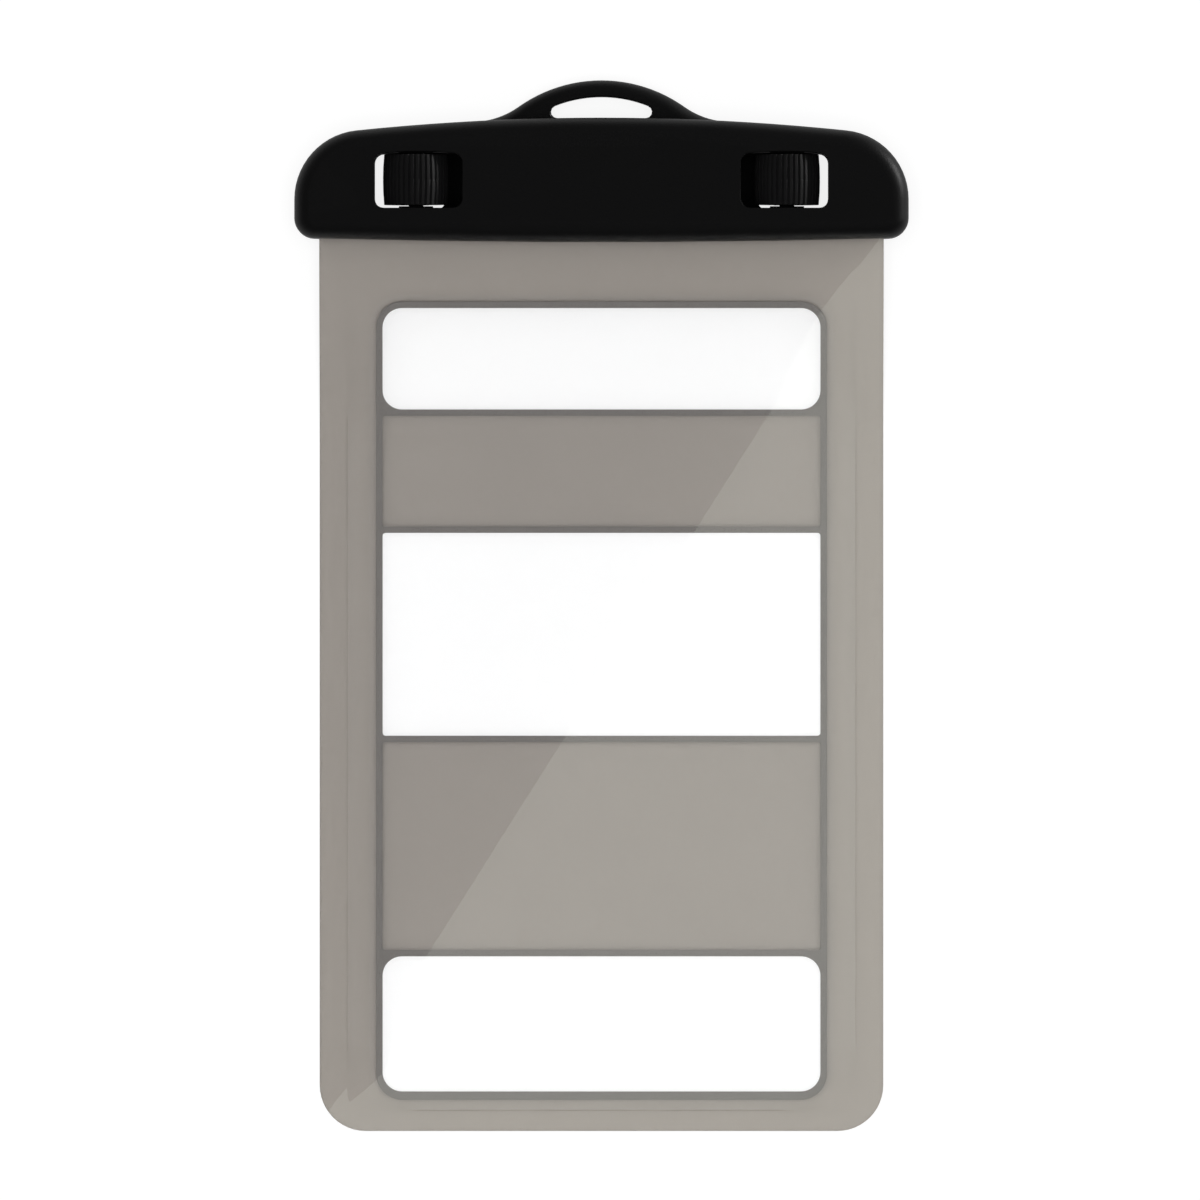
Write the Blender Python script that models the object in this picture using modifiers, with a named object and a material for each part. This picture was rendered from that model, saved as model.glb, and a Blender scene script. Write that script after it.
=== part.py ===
# Waterproof case for a phone: a welded film pouch whose mouth is closed by a two-part clamp.
# Two ribbed barrels turn in the clamp's windows and hook the front half to the rear half.
# The case lies on its back: X runs across it, Y towards the hanging loop, Z out of its front.
from math import acos, asin, atan2, cos, degrees, pi, radians, sin, sqrt

import bmesh
import bpy
from mathutils import Matrix

# Fits
GAP = 0.0003                # air left between two pieces that touch
SLIDE = 0.00035             # running clearance of journals, pegs and the catch bar
PAST = 0.0020               # how far a cutter reaches past the face that it cuts

# Pouch
POUCH_WIDTH = 0.1142
POUCH_LENGTH = 0.1800       # bottom edge to the lower edge of the clamp
POUCH_CORNER = 0.0093
FILM = 0.0004               # thickness of the front and the back film
SIDE_WELD = 0.0056          # width of the flat welded rim at the sides
FOOT_WELD = 0.0042          # and at the bottom
PUFF_SLOPE = 0.0155         # width of the slope between that rim and the flat front
RISE = 0.040                # length over which the back film climbs to the clamp

# Windows of the back film, from the bottom up
WINDOW_MARGIN = 0.0128      # pouch side to the windows
WINDOW_FOOT = 0.0081        # pouch bottom to the lowest window
WINDOW_HEAD = 0.0133        # highest window to the clamp
LOWER_WINDOW = 0.0273
MIDDLE_WINDOW = 0.0411
UPPER_BAND = 0.0250
UPPER_WINDOW = 0.0205
ROUND_CORNER = 0.0039       # corners of the lower and upper windows
SQUARE_CORNER = 0.0006      # corners of the middle window
EDGING = 0.0013             # width of the edging beside the windows
FOOT_EDGING = 0.0017        # and under the lowest one
EDGING_THICKNESS = 0.0003
SHEET = 0.0003              # thickness of the clear window sheet
SHEET_LAP = 0.0027          # how far that sheet laps over the window edges

# Clamp
CLAMP_OVERHANG = 0.0050     # pouch side to the clamp's end
CLAMP_HEIGHT = 0.0251       # at the middle, without the loop
CROWN_RADIUS = 0.480        # of the arched top edge
FOOT_RADIUS = 2.240         # of the faintly bowed lower edge
SHOULDER = 0.0140
HEEL = 0.0040
REAR_DEPTH = 0.0093
FRONT_DEPTH = 0.0081
WALL = 0.0020
FRONT_ROUND = 0.0032        # rounding of the front rim
BACK_ROUND = 0.0020
RIB = 0.0012                # inner stiffening ribs
RIB_SPACING = 0.0090
RIB_PAIRS = 2

# Mouth of the clamp
LAND = 0.0054               # clamp's lower edge to the inner cavity
MOUTH = 0.0047              # clamp's lower edge to the end of the film recess
SEAL_LIFT = 0.0030          # clamp's lower edge to the middle of the seal strips
SEAL_WIDTH = 0.0016
SEAL_DEPTH = 0.0018
SEAL_MARGIN = 0.0016        # pouch side to the strip's end

# Hanging loop
LOOP_RISE = 0.0077
LOOP_RADIUS = 0.0290
LOOP_BAND = 0.0034
LOOP_FILLET = 0.0164
LOOP_NOSE = 0.0013          # rounding of the slot's ends
LOOP_DEPTH = 0.0048
LOOP_ROUND = 0.0024         # rounding of its outer edge in front
LOOP_BACK = 0.0009          # and behind
LOOP_EDGE = 0.0003          # chamfer of the slot

# Locks
LOCK_PLACE = 0.0246         # clamp's end to the barrel axis
LOCK_WIDTH = 0.0178         # window in the front half
LOCK_HEIGHT = 0.01145       # at its middle
LOCK_BOW = 0.080            # radius of its bowed top edge
LOCK_INSET = 0.0005         # window centre inwards of the barrel axis
LOCK_LIFT = 0.00685         # clamp's lower edge to the window
LOCK_CORNER = 0.0019
LOCK_WALL = 0.0018
REAR_SHUT = 0.0028          # part of the window that the rear half closes, on the inner side
REAR_LEDGE = 0.0010         # at the top
REAR_SILL = 0.0001          # and at the foot
BARREL_RADIUS = 0.0067
BARREL_LENGTH = 0.0102
BARREL_CROWN = 0.00025      # how much the radius falls towards the ends
BARREL_PROUD = 0.0007
RIB_PITCH = 0.00115
RIB_DEPTH = 0.00032
JOURNAL_RADIUS = 0.0015
JOURNAL_LENGTH = 0.0017
BEARING_WIDTH = 0.0069
SNAP = 0.0005               # height of the lips that hold a journal in its seat
SNAP_BITE = 0.0003
BAR_RADIUS = 0.0011
HOOK_RADIUS = 0.0036        # barrel axis to the catch bar when locked
HOOK_TRAVEL = 0.0035        # how far a quarter turn parts the halves
HOOK_TURN = radians(90)
HOOK_OVERRUN = radians(4)
LIP_EDGE = 0.0005           # thickness of the hook's tip

# Locating pegs
PEG_RADIUS = 0.0014
PEG_REACH = 0.0030          # beyond the rear half's face
PEG_INSET = 0.0082          # from the clamp's end
PEG_WALL = 0.0012

# Places that follow from the sizes
clamp_width = POUCH_WIDTH + 2 * CLAMP_OVERHANG
window_width = POUCH_WIDTH - 2 * WINDOW_MARGIN
lower_band = (POUCH_LENGTH - WINDOW_FOOT - LOWER_WINDOW - MIDDLE_WINDOW - UPPER_BAND
              - UPPER_WINDOW - WINDOW_HEAD)
seal_length = POUCH_WIDTH - 2 * SEAL_MARGIN
lock_spacing = clamp_width - 2 * LOCK_PLACE
case_length = POUCH_LENGTH + CLAMP_HEIGHT + LOOP_RISE
pouch_bottom = -case_length / 2
clamp_foot = pouch_bottom + POUCH_LENGTH
clamp_crest = clamp_foot + CLAMP_HEIGHT
crown_centre = clamp_crest - CROWN_RADIUS
arch_centre = clamp_crest + LOOP_RISE - LOOP_RADIUS
land_top = clamp_foot + LAND
mouth_end = clamp_foot + MOUTH
film_end = mouth_end - SLIDE
front_face = REAR_DEPTH + GAP + FRONT_DEPTH
front_bottom = REAR_DEPTH + GAP
barrel_axis = front_face + BARREL_PROUD - BARREL_RADIUS
barrel_middle = clamp_foot + LOCK_LIFT + LOCK_HEIGHT / 2
bar_height = barrel_axis - HOOK_RADIUS
rise_start = clamp_foot - RISE
recess = FILM + GAP
groove_width = SEAL_WIDTH + 2 * GAP
groove_length = seal_length + 2 * GAP
peg_place = clamp_width / 2 - PEG_INSET

for leftover in list(bpy.data.objects):
    bpy.data.objects.remove(leftover)

case = bpy.data.collections.new("waterproof_phone_case")
cutters = bpy.data.collections.new("cutters")
for group in (case, cutters):
    bpy.context.scene.collection.children.link(group)


def material(name, colour, roughness, alpha=1.0):
    made = bpy.data.materials.new(name)
    made.use_nodes = True
    shader = made.node_tree.nodes["Principled BSDF"]
    shader.inputs["Base Color"].default_value = (*colour, 1.0)
    shader.inputs["Roughness"].default_value = roughness
    shader.inputs["Metallic"].default_value = 0.0
    shader.inputs["Alpha"].default_value = alpha
    made.diffuse_color = (*colour, alpha)
    return made


clamp_black = material("clamp_black", (0.010, 0.010, 0.011), 0.42)
barrel_black = material("barrel_black", (0.008, 0.008, 0.009), 0.35)
seal_grey = material("seal_silicone", (0.06, 0.06, 0.06), 0.6)
clear_film = material("clear_film", (0.92, 0.92, 0.92), 0.08, alpha=0.18)
smoky_film = material("smoky_film", (0.29, 0.265, 0.245), 0.35)
window_film = material("window_film", (0.95, 0.95, 0.95), 0.08, alpha=0.18)
edging_grey = material("edging_grey", (0.17, 0.16, 0.147), 0.35)


# Outlines

def arc(x, y, radius, start, end, steps):
    turn = (end - start) / steps
    return [(x + radius * cos(start + turn * i), y + radius * sin(start + turn * i))
            for i in range(steps + 1)]


def chain(*stretches):
    """One outline from stretches that meet, with each shared point kept once."""
    outline = []
    for x, y in (point for stretch in stretches for point in stretch):
        if not outline or max(abs(x - outline[-1][0]), abs(y - outline[-1][1])) > 1e-6:
            outline.append((x, y))
    if max(abs(outline[0][0] - outline[-1][0]), abs(outline[0][1] - outline[-1][1])) < 1e-6:
        outline.pop()
    return outline


def rounded_box(left, right, low, high, radius, steps=5):
    corners = ((right, high, 0), (left, high, 1), (left, low, 2), (right, low, 3))
    stretches = []
    for x, y, quarter in corners:
        inward_x = radius if x == right else -radius
        inward_y = radius if y == high else -radius
        start = quarter * pi / 2
        stretches.append(arc(x - inward_x, y - inward_y, radius, start, start + pi / 2, steps))
    return chain(*stretches)


def clamp_top(inset):
    """The arched top edge and its two shoulders, from the right side to the left."""
    side = clamp_width / 2 - inset
    shoulder = SHOULDER - inset
    x = side - shoulder
    y = crown_centre + sqrt((CROWN_RADIUS - inset - shoulder) ** 2 - x ** 2)
    lean = atan2(x, y - crown_centre)
    return chain(arc(x, y, shoulder, 0, pi / 2 - lean, 14),
                 arc(0, crown_centre, CROWN_RADIUS - inset, pi / 2 - lean, pi / 2 + lean, 20),
                 arc(-x, y, shoulder, pi / 2 + lean, pi, 14))


def clamp_outline():
    bow_centre = clamp_foot + FOOT_RADIUS
    x = clamp_width / 2 - HEEL
    y = bow_centre - sqrt((FOOT_RADIUS - HEEL) ** 2 - x ** 2)
    lean = atan2(x, bow_centre - y)
    return chain(arc(x, y, HEEL, -pi / 2 + lean, 0, 8),
                 clamp_top(0),
                 arc(-x, y, HEEL, pi, 3 * pi / 2 - lean, 8),
                 arc(0, bow_centre, FOOT_RADIUS, -pi / 2 - lean, -pi / 2 + lean, 10))


def cavity_outline():
    side = clamp_width / 2 - WALL
    return chain(clamp_top(WALL), [(-side, land_top), (side, land_top)])


def loop_outline(inset=0.0):
    """Outside of the hanging loop: an arch blended into the crown, or a line inset from it."""
    reach = LOOP_RADIUS + LOOP_FILLET
    crown_reach = CROWN_RADIUS + LOOP_FILLET
    rise = ((arch_centre ** 2 - crown_centre ** 2 - reach ** 2 + crown_reach ** 2)
            / (2 * (arch_centre - crown_centre)))
    x = sqrt(reach ** 2 - (rise - arch_centre) ** 2)
    to_crown = atan2(crown_centre - rise, -x)
    to_arch = atan2(arch_centre - rise, -x)
    right = arc(x, rise, LOOP_FILLET + inset, to_crown, to_arch, 10)
    left = [(-px, py) for px, py in reversed(right)]
    base = rise + LOOP_FILLET * sin(to_crown) - LOOP_ROUND - WALL / 2
    top = arc(0, arch_centre, LOOP_RADIUS - inset, to_arch + pi, -to_arch, 24)
    return chain([(right[0][0], base)], right, top, left, [(left[-1][0], base)])


def slot_outline():
    inner = LOOP_RADIUS - LOOP_BAND
    nose_y = clamp_crest + LOOP_NOSE
    nose_x = sqrt((inner - LOOP_NOSE) ** 2 - (nose_y - arch_centre) ** 2)
    nose_end = atan2(nose_y - arch_centre, nose_x)
    return chain(arc(nose_x, nose_y, LOOP_NOSE, -pi / 2, nose_end, 5),
                 arc(0, arch_centre, inner, nose_end, pi - nose_end, 20),
                 arc(-nose_x, nose_y, LOOP_NOSE, pi - nose_end, 3 * pi / 2, 5))


def lock_centre(side):
    return side * (lock_spacing / 2 - LOCK_INSET)


def lock_outline(side, grow=0.0):
    """The window in front of a barrel, or with grow the outside of the wall round it."""
    x = lock_centre(side)
    corner = LOCK_CORNER + grow
    across = LOCK_WIDTH / 2 + grow - corner
    foot = clamp_foot + LOCK_LIFT - grow + corner
    bow = LOCK_BOW + grow
    bow_centre = clamp_foot + LOCK_LIFT + LOCK_HEIGHT - LOCK_BOW
    head = bow_centre + sqrt((bow - corner) ** 2 - across ** 2)
    lean = atan2(across, head - bow_centre)
    return chain(arc(x + across, head, corner, 0, pi / 2 - lean, 5),
                 arc(x, bow_centre, bow, pi / 2 - lean, pi / 2 + lean, 6),
                 arc(x - across, head, corner, pi / 2 + lean, pi, 5),
                 arc(x - across, foot, corner, pi, 3 * pi / 2, 5),
                 arc(x + across, foot, corner, 3 * pi / 2, 2 * pi, 5))


def rear_lock_outline(side):
    """The smaller opening behind a barrel: shut on the inner side, at the top and at the foot."""
    x = lock_centre(side)
    outer = x + side * LOCK_WIDTH / 2
    inner = x - side * (LOCK_WIDTH / 2 - REAR_SHUT)
    low = clamp_foot + LOCK_LIFT + REAR_SILL
    high = clamp_foot + LOCK_LIFT + LOCK_HEIGHT - REAR_LEDGE
    return rounded_box(min(inner, outer), max(inner, outer), low, high, LOCK_CORNER)


def seat_outline(side):
    """Across a journal's seat: a slot from the parting face, with snap lips at its entry."""
    x = side * lock_spacing / 2
    half = JOURNAL_RADIUS + SLIDE
    entry = half - SLIDE / 2 - SNAP_BITE
    below = front_bottom - WALL / 2
    lip = front_bottom + SNAP
    right = [(x + entry, below), (x + entry, lip), (x + half, lip + SNAP_BITE)]
    left = [(2 * x - px, py) for px, py in reversed(right)]
    return chain(right, arc(x, barrel_axis, half, 0, pi, 10), left)


def barrel_section(side):
    """Across a barrel: ribs outside, and a spiral groove that draws the catch bar inwards.

    Angles are measured at the axis, from the locked bar towards the groove's mouth.
    """
    groove = BAR_RADIUS + SLIDE
    climb = HOOK_TRAVEL / HOOK_TURN

    def spiral(angle, out, along=0.0):
        """A point near the bar's path: out across it, along it towards the mouth."""
        radius = HOOK_RADIUS + climb * angle
        slant = atan2(climb, radius)
        u = radius + out * cos(slant) + along * sin(slant)
        v = along * cos(slant) - out * sin(slant)
        return (side * (u * sin(angle) + v * cos(angle)), v * sin(angle) - u * cos(angle))

    wall_steps = 24
    outer_wall = []
    for i in range(wall_steps):
        angle = -HOOK_OVERRUN + i * HOOK_TURN / wall_steps
        x, z = spiral(angle, groove)
        if sqrt(x * x + z * z) > BARREL_RADIUS - LIP_EDGE:
            break
        outer_wall.append((x, z))
    tip = atan2(side * outer_wall[-1][0], -outer_wall[-1][1])
    inner_wall = [spiral(HOOK_TURN - i * (HOOK_TURN + HOOK_OVERRUN) / 12, -groove)
                  for i in range(13)]
    back = [spiral(-HOOK_OVERRUN, -groove * cos(pi * i / 8), -groove * sin(pi * i / 8))
            for i in range(1, 8)]

    parted = HOOK_RADIUS + HOOK_TRAVEL
    meet = acos((parted ** 2 + groove ** 2 - BARREL_RADIUS ** 2) / (2 * parted * groove))
    rim = HOOK_TURN + asin(groove * sin(meet) / BARREL_RADIUS)
    sweep = meet - atan2(climb, parted)
    mouth = [spiral(HOOK_TURN, -groove * cos(sweep * i / 5), groove * sin(sweep * i / 5))
             for i in range(5, 0, -1)]

    span = 2 * pi - rim + tip
    count = round(span * BARREL_RADIUS / RIB_PITCH)
    ribs = []
    for i in range(count):
        for share, depth in ((0.0, 0.0), (0.5, 0.0), (0.62, RIB_DEPTH), (0.88, RIB_DEPTH)):
            angle = tip - (i + share) * span / count
            radius = BARREL_RADIUS - depth
            ribs.append((side * radius * sin(angle), -radius * cos(angle)))
    return chain(ribs, mouth, inner_wall, back, outer_wall)


# Heights of the soft sheets

def smooth(share):
    share = min(max(share, 0.0), 1.0)
    return share * share * (3 - 2 * share)


def back_height(x, y):
    """Underside of the back film: flat on the table, then up to the clamp's parting face."""
    return (REAR_DEPTH - FILM) * smooth((y - rise_start) / RISE)


def front_height(x, y):
    """Underside of the front film: a rim on the back film, and a flat front level with the clamp's mouth."""
    across = (POUCH_WIDTH / 2 - SIDE_WELD - abs(x)) / PUFF_SLOPE
    along = (y - pouch_bottom - FOOT_WELD) / PUFF_SLOPE
    swell = sin(pi / 2 * min(max(across, 0.0), 1.0)) * sin(pi / 2 * min(max(along, 0.0), 1.0))
    rim = back_height(x, y) + FILM + GAP
    return rim + (front_bottom - rim) * swell


# Solids

def add_object(name, mesh, group, look=None):
    made = bpy.data.objects.new(name, mesh)
    group.objects.link(made)
    if look:
        mesh.materials.append(look)
    if group is cutters:
        made.hide_render = True
        made.display_type = "WIRE"
    return made


def plate(name, outlines, low, high, group=cutters, look=None, upright=False):
    """A flat outline, extruded from low to high along Z, or along Y when upright."""
    curve = bpy.data.curves.new(name, "CURVE")
    curve.dimensions = "2D"
    curve.fill_mode = "BOTH"
    curve.extrude = (high - low) / 2
    for outline in outlines:
        spline = curve.splines.new("POLY")
        spline.points.add(len(outline) - 1)
        for point, (x, y) in zip(spline.points, outline):
            point.co = (x, y, 0, 1)
        spline.use_cyclic_u = True
    drawn = bpy.data.objects.new(name, curve)
    case.objects.link(drawn)
    drawn.location.z = (low + high) / 2
    if upright:
        drawn.rotation_euler.x = pi / 2
        drawn.location = (0, (low + high) / 2, 0)
    bpy.context.view_layer.update()
    mesh = bpy.data.meshes.new_from_object(drawn.evaluated_get(bpy.context.evaluated_depsgraph_get()))
    mesh.transform(drawn.matrix_world)
    bpy.data.objects.remove(drawn)
    mesh.name = name

    shape = bmesh.new()
    shape.from_mesh(mesh)
    bmesh.ops.remove_doubles(shape, verts=shape.verts, dist=1e-6)
    bmesh.ops.dissolve_limit(shape, angle_limit=radians(0.5), verts=shape.verts, edges=shape.edges)
    bmesh.ops.recalc_face_normals(shape, faces=shape.faces)
    shape.to_mesh(mesh)
    shape.free()
    return add_object(name, mesh, group, look)


def loft(name, outlines, heights, group=cutters):
    """A solid through outlines of as many points, one at each height."""
    shape = bmesh.new()
    rings = [[shape.verts.new((x, y, z)) for x, y in outline]
             for outline, z in zip(outlines, heights)]
    for below, above in zip(rings, rings[1:]):
        for i in range(len(below)):
            shape.faces.new((below[i - 1], below[i], above[i], above[i - 1]))
    shape.faces.new(rings[0][::-1])
    shape.faces.new(rings[-1])
    mesh = bpy.data.meshes.new(name)
    shape.to_mesh(mesh)
    shape.free()
    return add_object(name, mesh, group)


def box(name, low, high):
    shape = bmesh.new()
    middle = [(a + b) / 2 for a, b in zip(low, high)]
    size = [b - a for a, b in zip(low, high)]
    bmesh.ops.create_cube(shape, size=1, matrix=Matrix.LocRotScale(middle, None, size))
    mesh = bpy.data.meshes.new(name)
    shape.to_mesh(mesh)
    shape.free()
    return add_object(name, mesh, cutters)


def rod(name, radius, start, length, axis="Z", sides=24):
    """A round bar from its start point along +Z or +Y."""
    shape = bmesh.new()
    along = Matrix.Translation((0, 0, length / 2))
    turn = Matrix.Rotation(-pi / 2, 4, "X") if axis == "Y" else Matrix.Identity(4)
    bmesh.ops.create_cone(shape, cap_ends=True, segments=sides, radius1=radius, radius2=radius,
                          depth=length, matrix=Matrix.Translation(start) @ turn @ along)
    mesh = bpy.data.meshes.new(name)
    shape.to_mesh(mesh)
    shape.free()
    return add_object(name, mesh, cutters)


def flare(tool, low, grow):
    """Widen a window cutter's far end, so that it leaves a chamfer."""
    x = [v.co.x for v in tool.data.vertices]
    y = [v.co.y for v in tool.data.vertices]
    middle = ((min(x) + max(x)) / 2, (min(y) + max(y)) / 2)
    share = (1 + 2 * grow / (max(x) - min(x)), 1 + 2 * grow / (max(y) - min(y)))
    for vertex in tool.data.vertices:
        if vertex.co.z > low + grow / 2:
            vertex.co.x = middle[0] + (vertex.co.x - middle[0]) * share[0]
            vertex.co.y = middle[1] + (vertex.co.y - middle[1]) * share[1]
    return tool


def round_rim(piece, heights, radius, segments):
    """Round the edges that run round a plate at the given heights."""
    shape = bmesh.new()
    shape.from_mesh(piece.data)
    weight = shape.edges.layers.float.new("bevel_weight_edge")
    for edge in shape.edges:
        level = any(all(abs(vertex.co.z - height) < 1e-6 for vertex in edge.verts)
                    for height in heights)
        if level and edge.calc_face_angle(0) > radians(45):
            edge[weight] = 1.0
    shape.to_mesh(piece.data)
    shape.free()
    bevel = piece.modifiers.new("rounded_rim", "BEVEL")
    bevel.limit_method = "WEIGHT"
    bevel.width = radius
    bevel.segments = segments


def combine(piece, tool, operation):
    step = piece.modifiers.new(tool.name, "BOOLEAN")
    step.operation = operation
    step.object = tool
    step.solver = "EXACT"


def cut(piece, tool):
    combine(piece, tool, "DIFFERENCE")


def join(piece, tool):
    combine(piece, tool, "UNION")


def settle(piece, sharp=35):
    """Turn the modifiers' result into the piece's own mesh, shaded smooth between sharp edges."""
    bpy.context.view_layer.update()
    mesh = bpy.data.meshes.new_from_object(piece.evaluated_get(bpy.context.evaluated_depsgraph_get()))
    piece.modifiers.clear()
    shape = bmesh.new()
    shape.from_mesh(mesh)
    bmesh.ops.remove_doubles(shape, verts=shape.verts, dist=1e-6)
    bmesh.ops.dissolve_degenerate(shape, dist=1e-6, edges=shape.edges)
    shape.to_mesh(mesh)
    shape.free()
    mesh.name = piece.name
    piece.data = mesh
    mesh.shade_smooth()
    mesh.set_sharp_from_angle(angle=radians(sharp))
    return piece


def drape(piece, height, lines):
    """Cut a flat sheet along lines and lift each point by the height where it lies."""
    shape = bmesh.new()
    shape.from_mesh(piece.data)
    for axis, places in lines.items():
        normal = (1, 0, 0) if axis == "x" else (0, 1, 0)
        for place in places:
            bmesh.ops.bisect_plane(shape, geom=shape.verts[:] + shape.edges[:] + shape.faces[:],
                                   dist=1e-6, plane_co=[place * n for n in normal], plane_no=normal)
    for vertex in shape.verts:
        vertex.co.z += height(vertex.co.x, vertex.co.y)
    shape.to_mesh(piece.data)
    shape.free()
    return piece


# Clamp

def add_lock_walls(piece, low, high):
    for side, hand in ((-1, "left"), (1, "right")):
        join(piece, plate(f"{piece.name}_{hand}_lock_wall", [lock_outline(side, LOCK_WALL)], low, high))


def add_ribs(piece, low, high):
    for i in range(-RIB_PAIRS, RIB_PAIRS + 1):
        x = i * RIB_SPACING
        top = crown_centre + sqrt((CROWN_RADIUS - WALL / 2) ** 2 - x ** 2)
        join(piece, box(f"{piece.name}_rib_{i + RIB_PAIRS}",
                        (x - RIB / 2, land_top - WALL / 2, low), (x + RIB / 2, top - RIB, high)))


def cut_mouth(piece, land, groove_bottom, beyond):
    """The recess that the films lie in, and the groove for the seal strip under it."""
    half = POUCH_WIDTH / 2 + SLIDE
    middle = clamp_foot + SEAL_LIFT
    low, high = sorted((land, beyond))
    cut(piece, box(f"{piece.name}_recess", (-half, clamp_foot - PAST, low), (half, mouth_end, high)))
    low, high = sorted((groove_bottom, beyond))
    cut(piece, box(f"{piece.name}_groove", (-groove_length / 2, middle - groove_width / 2, low),
                   (groove_length / 2, middle + groove_width / 2, high)))


def hanging_loop(top):
    """The loop up to its top face: a wide rounding in front, a small one behind, and the slot."""
    low = top - LOOP_DEPTH
    insets, heights = [], []
    for i in range(4):
        angle = pi / 2 * i / 3
        insets.append(LOOP_BACK * (1 - sin(angle)))
        heights.append(low + LOOP_BACK * (1 - cos(angle)))
    for i in range(7):
        angle = pi / 2 * i / 6
        insets.append(LOOP_ROUND * (1 - cos(angle)))
        heights.append(top - LOOP_ROUND * (1 - sin(angle)))
    loop = loft("loop", [loop_outline(inset) for inset in insets], heights)
    cut(loop, plate("slot", [slot_outline()], low - PAST, top + PAST))
    rim = plate("slot_flare", [slot_outline()], top - LOOP_EDGE, top + LOOP_EDGE)
    cut(loop, flare(rim, top - LOOP_EDGE, 2 * LOOP_EDGE))
    return settle(loop)


def rear_clamp_half():
    piece = plate("rear_clamp_half", [clamp_outline()], 0, REAR_DEPTH, case, clamp_black)
    round_rim(piece, [0], BACK_ROUND, 4)
    join(piece, hanging_loop(REAR_DEPTH - GAP))

    over = REAR_DEPTH + PAST
    cut(piece, plate("rear_cavity", [cavity_outline()], WALL, over))
    add_lock_walls(piece, WALL / 2, REAR_DEPTH)
    add_ribs(piece, WALL / 2, REAR_DEPTH - RIB)
    for side, hand in ((-1, "left"), (1, "right")):
        x = side * lock_spacing / 2
        cut(piece, plate(f"rear_{hand}_pocket", [lock_outline(side)], WALL, over))
        cut(piece, plate(f"rear_{hand}_opening", [rear_lock_outline(side)], -PAST, over))
        length = LOCK_HEIGHT + LOCK_WALL
        join(piece, rod(f"{hand}_catch_bar", BAR_RADIUS,
                        (x, barrel_middle - length / 2, bar_height), length, "Y", 16))
        join(piece, rod(f"{hand}_peg", PEG_RADIUS, (side * peg_place, barrel_middle, WALL / 2),
                        REAR_DEPTH - WALL / 2 + PEG_REACH, sides=20))
    cut_mouth(piece, REAR_DEPTH - recess, REAR_DEPTH - recess - SEAL_DEPTH - GAP, over)
    return settle(piece)


def front_clamp_half():
    piece = plate("front_clamp_half", [clamp_outline()], front_bottom, front_face, case, clamp_black)
    round_rim(piece, [front_face], FRONT_ROUND, 6)

    under = front_bottom - PAST
    inside = front_face - WALL
    cut(piece, plate("front_cavity", [cavity_outline()], under, inside))
    add_lock_walls(piece, front_bottom, inside + WALL / 2)
    add_ribs(piece, front_bottom + RIB, inside + WALL / 2)
    for side, hand in ((-1, "left"), (1, "right")):
        x = side * lock_spacing / 2
        cut(piece, plate(f"front_{hand}_window", [lock_outline(side)], under, front_face + PAST))
        lip = (LOCK_HEIGHT - BARREL_LENGTH) / 2 - GAP
        for end in (-1, 1):
            inner = barrel_middle + end * (LOCK_HEIGHT / 2 - lip)
            outer = barrel_middle + end * (LOCK_HEIGHT / 2 + LOCK_WALL / 2)
            join(piece, box(f"{hand}_bearing_{end + 1}",
                            (x - BEARING_WIDTH / 2, min(inner, outer), front_bottom),
                            (x + BEARING_WIDTH / 2, max(inner, outer), inside)))
        reach = BARREL_LENGTH / 2 + JOURNAL_LENGTH + GAP
        cut(piece, plate(f"{hand}_seat", [seat_outline(side)], barrel_middle - reach,
                         barrel_middle + reach, upright=True))
        boss = PEG_RADIUS + SLIDE + PEG_WALL
        place = (side * peg_place, barrel_middle, front_bottom)
        join(piece, rod(f"{hand}_socket_boss", boss, place, inside + WALL / 2 - front_bottom))
        hole = (side * peg_place, barrel_middle, under)
        depth = REAR_DEPTH + PEG_REACH + GAP - under
        cut(piece, rod(f"{hand}_socket", PEG_RADIUS + SLIDE, hole, depth, sides=20))
    land = front_bottom + recess
    cut_mouth(piece, land, land + SEAL_DEPTH + GAP, under)
    return settle(piece)


def seal_strip(name, low):
    middle = clamp_foot + SEAL_LIFT
    outline = rounded_box(-seal_length / 2, seal_length / 2, middle - SEAL_WIDTH / 2,
                          middle + SEAL_WIDTH / 2, SEAL_WIDTH * 0.3, 3)
    return settle(plate(name, [outline], low, low + SEAL_DEPTH, case, seal_grey))


def crown(piece, length):
    """Draw a barrel's ribbed surface in towards its ends, and leave its groove as it is."""
    shape = bmesh.new()
    shape.from_mesh(piece.data)
    for share in (-0.5, 0.0, 0.5):
        bmesh.ops.bisect_plane(shape, geom=shape.verts[:] + shape.edges[:] + shape.faces[:],
                               dist=1e-6, plane_co=(0, share * length, 0), plane_no=(0, 1, 0))
    for vertex in shape.verts:
        radius = sqrt(vertex.co.x ** 2 + vertex.co.z ** 2)
        if radius > BARREL_RADIUS - RIB_DEPTH - 1e-5:
            keep = 1 - BARREL_CROWN * (vertex.co.y / length) ** 2 / radius
            vertex.co.x *= keep
            vertex.co.z *= keep
    shape.to_mesh(piece.data)
    shape.free()


def lock_barrel(hand, side):
    """A barrel whose origin lies on its axis, halfway along, with its mouth facing inwards."""
    length = BARREL_LENGTH / 2
    piece = plate(f"{hand}_lock_barrel", [barrel_section(-side)], -length, length, case,
                  barrel_black, upright=True)
    crown(piece, length)
    reach = length + JOURNAL_LENGTH
    pin = rod(f"{hand}_journals", JOURNAL_RADIUS, (0, -reach, 0), 2 * reach, "Y", 20)
    join(piece, pin)
    settle(piece, 25)
    piece.location = (side * lock_spacing / 2, barrel_middle, barrel_axis)
    return piece


# Pouch

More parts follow.
